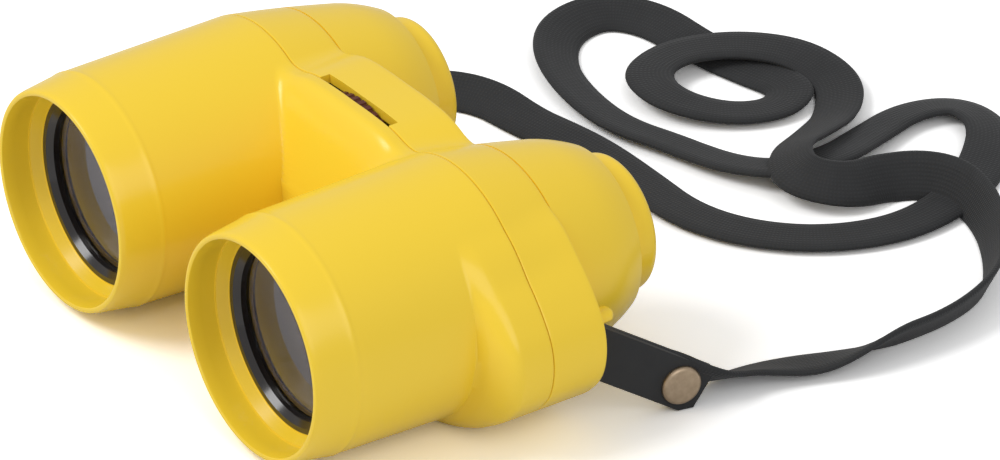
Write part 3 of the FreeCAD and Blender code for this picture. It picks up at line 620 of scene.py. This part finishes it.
def ribbon(name, line, leans, width, thickness):
    """A flat band along a line; leans turn its width from level to upright at each point."""
    half_w = width / 2.0
    half_t = thickness / 2.0
    rim = thickness * 0.45
    section = [
        (-half_w, 0.0), (-half_w + rim, half_t), (-half_w * 0.5, half_t * 1.08), (0.0, half_t * 1.1),
        (half_w * 0.5, half_t * 1.08), (half_w - rim, half_t), (half_w, 0.0), (half_w - rim, -half_t),
        (half_w * 0.5, -half_t), (0.0, -half_t), (-half_w * 0.5, -half_t), (-half_w + rim, -half_t),
    ]
    run = distances(line)
    mesh = bpy.data.meshes.new(name)
    shape = bmesh.new()
    rings = []
    for i, place in enumerate(line):
        ahead = line[min(i + 1, len(line) - 1)] - line[max(i - 1, 0)]
        ahead.normalize()
        level = Vector((0, 0, 1)).cross(ahead).normalized()
        up = ahead.cross(level).normalized()
        across = level * math.cos(leans[i]) + up * math.sin(leans[i])
        out = ahead.cross(across).normalized()
        rings.append([shape.verts.new(place + across * u + out * v) for u, v in section])
    count = len(section)
    uv = shape.loops.layers.uv.new("UVMap")
    reach = [0.0]
    for (u0, v0), (u1, v1) in zip(section, section[1:] + section[:1]):
        reach.append(reach[-1] + math.hypot(u1 - u0, v1 - v0))
    for i in range(len(line) - 1):
        for j in range(count):
            k = (j + 1) % count
            face = shape.faces.new((rings[i][j], rings[i][k], rings[i + 1][k], rings[i + 1][j]))
            face.smooth = True
            spots = [(run[i], reach[j]), (run[i], reach[j + 1]),
                     (run[i + 1], reach[j + 1]), (run[i + 1], reach[j])]
            for loop, spot in zip(face.loops, spots):
                loop[uv].uv = spot
    for end, order in ((rings[0], -1), (rings[-1], 1)):
        shape.faces.new(end[::order])
    bmesh.ops.recalc_face_normals(shape, faces=shape.faces)
    shape.to_mesh(mesh)
    shape.free()
    obj = bpy.data.objects.new(name, mesh)
    bpy.context.scene.collection.objects.link(obj)
    return obj


# ---- operators -----------------------------------------------------------------------------

class BINOCULARS_OT_stage(Operator):
    """Add the pale floor, the soft studio light and the camera"""
    bl_idname = "binoculars.stage"
    bl_label = "Stage"

    def execute(self, context):
        settings = context.scene.binocular_stage
        scene = context.scene
        bpy.ops.mesh.primitive_plane_add(size=6.0, location=(0, 0, 0))
        floor = context.object
        floor.name = "floor"
        paint, tree, shader, coords = new_material("floor")
        shader.inputs["Roughness"].default_value = 0.9
        shader.inputs["Specular IOR Level"].default_value = 0.0
        sight = tree.nodes.new("ShaderNodeLightPath")
        straight = tree.nodes.new("ShaderNodeMath")
        straight.operation = "ADD"
        straight.use_clamp = True
        link(tree, sight.outputs["Is Camera Ray"], straight.inputs[0])
        link(tree, sight.outputs["Is Transmission Ray"], straight.inputs[1])
        link(tree, range_node(tree, straight.outputs["Value"], 0.75, 1.5),
             shader.inputs["Base Color"])
        give(floor, paint)
        world = bpy.data.worlds.new("studio")
        world.use_nodes = True
        scene.world = world
        world.node_tree.nodes["Background"].inputs["Color"].default_value = (1, 1, 1, 1)
        world.node_tree.nodes["Background"].inputs["Strength"].default_value = 0.55
        add_area_light("key", (-0.25, -0.55, 0.75), (0, 0.02, 0.02), 0.5, 3.8)
        add_area_light("fill", (0.7, -0.1, 0.5), (0, 0.02, 0.02), 0.6, 1.3)
        scene.view_settings.view_transform = "Standard"
        middle = Vector((0, -0.0005, AXIS_HEIGHT))
        a, e = settings.azimuth, settings.elevation
        back = Vector((math.sin(a) * math.cos(e), -math.cos(a) * math.cos(e), math.sin(e)))
        right = Vector((math.cos(a), math.sin(a), 0))
        up = back.cross(right)
        aim = middle + right * 0.0281 - up * 0.0035
        data = bpy.data.cameras.new("camera")
        data.lens = settings.lens
        data.sensor_width = 36.0
        data.clip_start = 0.05
        data.clip_end = 20.0
        camera = bpy.data.objects.new("camera", data)
        scene.collection.objects.link(camera)
        camera.location = middle + back * settings.distance
        camera.rotation_euler = (camera.location - aim).to_track_quat("Z", "Y").to_euler()
        scene.camera = camera
        return {"FINISHED"}


def add_area_light(name, place, aim, size, power):
    data = bpy.data.lights.new(name, "AREA")
    data.shape = "DISK"
    data.size = size
    data.energy = power
    lamp = bpy.data.objects.new(name, data)
    bpy.context.scene.collection.objects.link(lamp)
    lamp.location = place
    lamp.rotation_euler = (Vector(place) - Vector(aim)).to_track_quat("Z", "Y").to_euler()
    return lamp


class BINOCULARS_OT_front_shell(Operator):
    """Model the front shell: both hoods, the start of the strap housings and the bridge"""
    bl_idname = "binoculars.front_shell"
    bl_label = "Front shell"

    def execute(self, context):
        shell = skin_from_rows("front_moulding", front_rows())
        smooth_by_angle(shell, 32.0)
        give(shell, yellow_plastic(context))
        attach(shell, "housing")
        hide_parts("front_shell")
        return {"FINISHED"}


class BINOCULARS_OT_rear_shell(Operator):
    """Model the rear shell, with the wheel's slot, the strap slots and the screw recesses"""
    bl_idname = "binoculars.rear_shell"
    bl_label = "Rear shell"

    def execute(self, context):
        shell = skin_from_rows("rear_moulding", rear_rows())
        back = FRONT_Y + HOUSING_BACK_AT
        cutters = [add_box((-10.4, FRONT_Y + 40.9, AXIS_Z + 12.0), (10.4, FRONT_Y + 43.05, 52.0))]
        for side in (1, -1):
            slot_x = side * 52.8
            cutters.append(add_box((slot_x - 1.7, back - 2.7, 10.7), (slot_x + 1.7, back + 1.0, 21.1)))
            for x, z in ((48.0, -14.0), (8.0, -13.6)):
                cutters.append(add_rod(side * x, z, 2.25, HOUSING_BACK_AT - 1.9, HOUSING_BACK_AT + 1.0))
        cut_with(shell, joined(cutters, "cutter"))
        lugs = []
        for side in (1, -1):
            inner, outer = sorted((side * 53.4, side * 56.4))
            lug = add_box((inner, back - 0.4, 21.3), (outer, back + 3.4, 23.7))
            bpy.ops.object.transform_apply(location=True, rotation=True, scale=True)
            round_off = lug.modifiers.new("round", "BEVEL")
            round_off.width = 1.0 * MM
            round_off.segments = 4
            bpy.ops.object.modifier_apply(modifier=round_off.name)
            lugs.append(lug)
        shell = joined([shell] + lugs, "rear_moulding")
        smooth_by_angle(shell, 32.0)
        give(shell, yellow_plastic(context))
        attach(shell, "housing")
        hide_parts("rear_shell")
        for side in ("right", "left"):
            give(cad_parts["eyecup_" + side], yellow_plastic(context))
        return {"FINISHED"}


class BINOCULARS_OT_optics(Operator):
    """Finish the lenses, their rings and seals, and the tubes behind them"""
    bl_idname = "binoculars.optics"
    bl_label = "Optics"

    def execute(self, context):
        gloss = moulded_material("ring_black", (0.012, 0.009, 0.009), 0.12, coat=0.5)
        matte = moulded_material("tube_black", (0.02, 0.018, 0.018), 0.6)
        rubber = moulded_material("seal_rubber", (0.015, 0.015, 0.015), 0.7)
        tinted = glass_material("tinted_glass", (0.55, 0.50, 0.55), 0.02)
        clear = glass_material("clear_glass", (0.95, 0.96, 0.96), 0.02)
        finishes = {
            "objective_ring": gloss, "eyepiece_ring": gloss, "light_tube": matte,
            "eyepiece_tube": matte, "lens_seal": rubber, "objective_lens": tinted,
            "eyepiece_lens": clear,
        }
        for piece, finish in finishes.items():
            for side in ("right", "left"):
                give(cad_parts[piece + "_" + side], finish)
        return {"FINISHED"}


class BINOCULARS_OT_focus(Operator):
    """Finish the focus wheel, its screw and the carriage that it drives"""
    bl_idname = "binoculars.focus"
    bl_label = "Focus drive"

    def execute(self, context):
        # The wheel is dark plastic. Its red-brown tint is painted shade, the colour of the shaded yellow
        # slot it sits in.
        wheel_with_painted_shade = moulded_material("wheel_dark_with_painted_shade", (0.10, 0.018, 0.008), 0.45)
        black = moulded_material("yoke_black", (0.02, 0.02, 0.02), 0.5)
        steel = metal_material("zinc_steel", (0.62, 0.62, 0.64), 0.30, (0.42, 0.42, 0.44))
        brass = metal_material("nut_brass", (0.78, 0.58, 0.26), 0.30, (0.5, 0.36, 0.16))
        give(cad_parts["focus_wheel"], wheel_with_painted_shade)
        give(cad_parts["focus_yoke"], black)
        give(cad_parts["focus_nut"], brass)
        for node in ("focus_screw", "thrust_washer", "screw_clip", "shell_screws",
                     "strap_pin_right", "strap_pin_left"):
            give(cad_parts[node], steel)
        return {"FINISHED"}


class BINOCULARS_OT_strap(Operator):
    """Lay the webbing along its line and finish its riveted ends"""
    bl_idname = "binoculars.strap"
    bl_label = "Strap"

    def execute(self, context):
        settings = context.scene.binocular_strap
        line = smooth_line(STRAP_ROUTE)
        run = distances(line)
        leans = [lean_at(d / run[-1]) for d in run]
        clear = settings.thickness * 0.6
        for place, lean in zip(line, leans):
            place.z = max(place.z, settings.width / 2.0 * abs(math.sin(lean)) * 0.85 + clear)
        strap = ribbon("strap", line, leans, settings.width, settings.thickness)
        webbing = webbing_material(settings)
        give(strap, webbing)
        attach(strap, "housing")
        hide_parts("strap_webbing")
        antique = metal_material("rivet_brass", (0.62, 0.48, 0.34), 0.38, (0.36, 0.27, 0.18))
        for side in ("right", "left"):
            give(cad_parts["strap_rivet_" + side], antique)
            give(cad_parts["strap_end_" + side], webbing)
        return {"FINISHED"}


class BINOCULARS_PT_panel(Panel):
    """Lists every step of the binoculars' making"""
    bl_label = "Binoculars"
    bl_idname = "BINOCULARS_PT_panel"
    bl_space_type = "VIEW_3D"
    bl_region_type = "UI"
    bl_category = "Binoculars"

    def draw(self, context):
        scene = context.scene
        for group in (scene.binocular_shell, scene.binocular_strap, scene.binocular_stage):
            for name in group.bl_rna.properties.keys():
                if name not in ("rna_type", "name"):
                    self.layout.prop(group, name)
        for step in STEPS:
            self.layout.operator(step.bl_idname)


SETTINGS = {
    "binocular_shell": BinocularShellSettings,
    "binocular_strap": BinocularStrapSettings,
    "binocular_stage": BinocularStageSettings,
}
STEPS = (
    BINOCULARS_OT_stage, BINOCULARS_OT_front_shell, BINOCULARS_OT_rear_shell, BINOCULARS_OT_optics,
    BINOCULARS_OT_focus, BINOCULARS_OT_strap,
)


def register():
    for cls in (*SETTINGS.values(), *STEPS, BINOCULARS_PT_panel):
        bpy.utils.register_class(cls)
    for name, cls in SETTINGS.items():
        setattr(bpy.types.Scene, name, PointerProperty(type=cls))


def unregister():
    for name in SETTINGS:
        delattr(bpy.types.Scene, name)
    for cls in reversed((*SETTINGS.values(), *STEPS, BINOCULARS_PT_panel)):
        bpy.utils.unregister_class(cls)


def main():
    register()
    bpy.ops.binoculars.stage()
    bpy.ops.binoculars.front_shell()
    bpy.ops.binoculars.rear_shell()
    bpy.ops.binoculars.optics()
    bpy.ops.binoculars.focus()
    bpy.ops.binoculars.strap()


if __name__ == "__main__":
    main()
